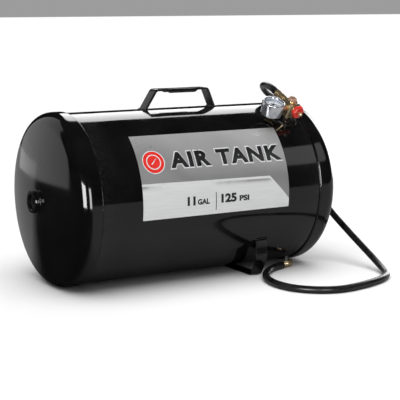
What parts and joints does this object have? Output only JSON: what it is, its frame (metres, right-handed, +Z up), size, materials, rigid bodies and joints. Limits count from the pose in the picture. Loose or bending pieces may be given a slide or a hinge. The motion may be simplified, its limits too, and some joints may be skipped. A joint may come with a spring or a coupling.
{
  "type": "portable air receiver tank",
  "caption": "Black steel air tank lying on its side with a top handle, a brass outlet manifold with a gauge and red knob, and an air hose ending in a tyre chuck.",
  "frame": {"origin": "on the floor, under the middle of the tank", "axes": "+Z up, +X along the tank's axis towards the manifold, -Y the label's side"},
  "size_m": [0.6462, 0.4778, 0.3601],
  "materials": {
    "black_paint": "gloss black paint",
    "plug_steel": "dark, satin",
    "label_film": "satin printed film",
    "brass": "satin brass",
    "coppery_brass": "satin, reddish",
    "red_plastic": "gloss red",
    "gauge_chrome": "polished",
    "gauge_glass": "clear",
    "dial_white": "satin white",
    "pointer_black": "satin black",
    "spring_steel": "bright wire",
    "black_plastic": "matte black",
    "hose_rubber": "satin black",
    "seal_rubber": "matte black"
  },
  "bodies": {
    "receiver": {"tank_shell": "black_paint", "left_head": "black_paint", "right_head": "black_paint", "left_port_bung": "black_paint", "right_port_bung": "black_paint", "left_port_plug": "plug_steel", "right_port_plug": "plug_steel", "front_label": "label_film", "carry_handle": "black_paint", "foot_bracket": "black_paint", "outlet_bung": "black_paint", "manifold_body": "brass", "manifold_top_plug": "coppery_brass", "valve_bonnet": "brass", "gauge_socket": "brass", "gauge_case": "gauge_chrome", "gauge_bezel": "gauge_chrome", "gauge_lens": "gauge_glass", "gauge_dial": "dial_white", "bourdon_tube": "brass", "relief_valve_body": "brass", "relief_valve_spring": "spring_steel", "fill_valve_body": "brass", "hose_barb": "brass", "hose_inlet_ferrule": "brass", "air_hose": "hose_rubber", "hose_end_ferrule": "brass", "chuck_body": "brass", "chuck_end_plug": "brass", "chuck_seal": "seal_rubber"},
    "knob": {"valve_stem": "brass", "valve_seat_washer": "seal_rubber", "valve_knob": "red_plastic", "knob_nut": "brass"},
    "pointer": {"gauge_pointer": "pointer_black"},
    "sector": {"gauge_sector": "brass"},
    "relief_stem": {"relief_valve_stem": "brass"},
    "relief_ring": {"relief_pull_ring": "gauge_chrome"},
    "fill_pin": {"fill_valve_pin": "brass"},
    "fill_cap": {"fill_valve_cap": "black_plastic"},
    "chuck_core": {"chuck_pin": "brass"}
  },
  "joints": [
    {"name": "knob_turn", "type": "hinge", "parent": "receiver", "child": "knob", "pos_m": [0.20282, -0.11826, 0.30838], "axis": [0.1736, -0.8352, -0.5219], "range_deg": [0, 720]},
    {"name": "pointer_turn", "type": "hinge", "parent": "receiver", "child": "pointer", "pos_m": [0.15193, -0.11088, 0.32501], "axis": [0.0212, 0.4242, -0.9053], "range_deg": [0, 270], "stiffness_Nm_per_rad": 0.00002},
    {"name": "sector_turn", "type": "hinge", "parent": "receiver", "child": "sector", "pos_m": [0.15591, -0.11449, 0.31347], "axis": [-0.0212, -0.4242, 0.9053], "range_deg": [0, 43.2]},
    {"name": "relief_pull", "type": "slide", "parent": "receiver", "child": "relief_stem", "axis": [0.9848, 0.1473, 0.092], "range_m": [0, 0.002], "stiffness_N_per_m": 4000},
    {"name": "ring_swing", "type": "hinge", "parent": "relief_stem", "child": "relief_ring", "pos_m": [0.22116, -0.08677, 0.30624], "axis": [0.0678, -0.8141, 0.5767], "range_deg": [-10, 45]},
    {"name": "fill_press", "type": "slide", "parent": "receiver", "child": "fill_pin", "axis": [-0.9848, -0.1473, -0.092], "range_m": [0, 0.0012], "stiffness_N_per_m": 1500},
    {"name": "cap_off", "type": "slide", "parent": "receiver", "child": "fill_cap", "axis": [0.9848, 0.1473, 0.092], "range_m": [0, 0.012]},
    {"name": "chuck_press", "type": "slide", "parent": "receiver", "child": "chuck_core", "axis": [0, 0, -1], "range_m": [0, 0.002], "stiffness_N_per_m": 1500}
  ],
  "couplings": [
    {"joint": "sector_turn", "follows": "pointer_turn", "ratio": 0.16}
  ]
}
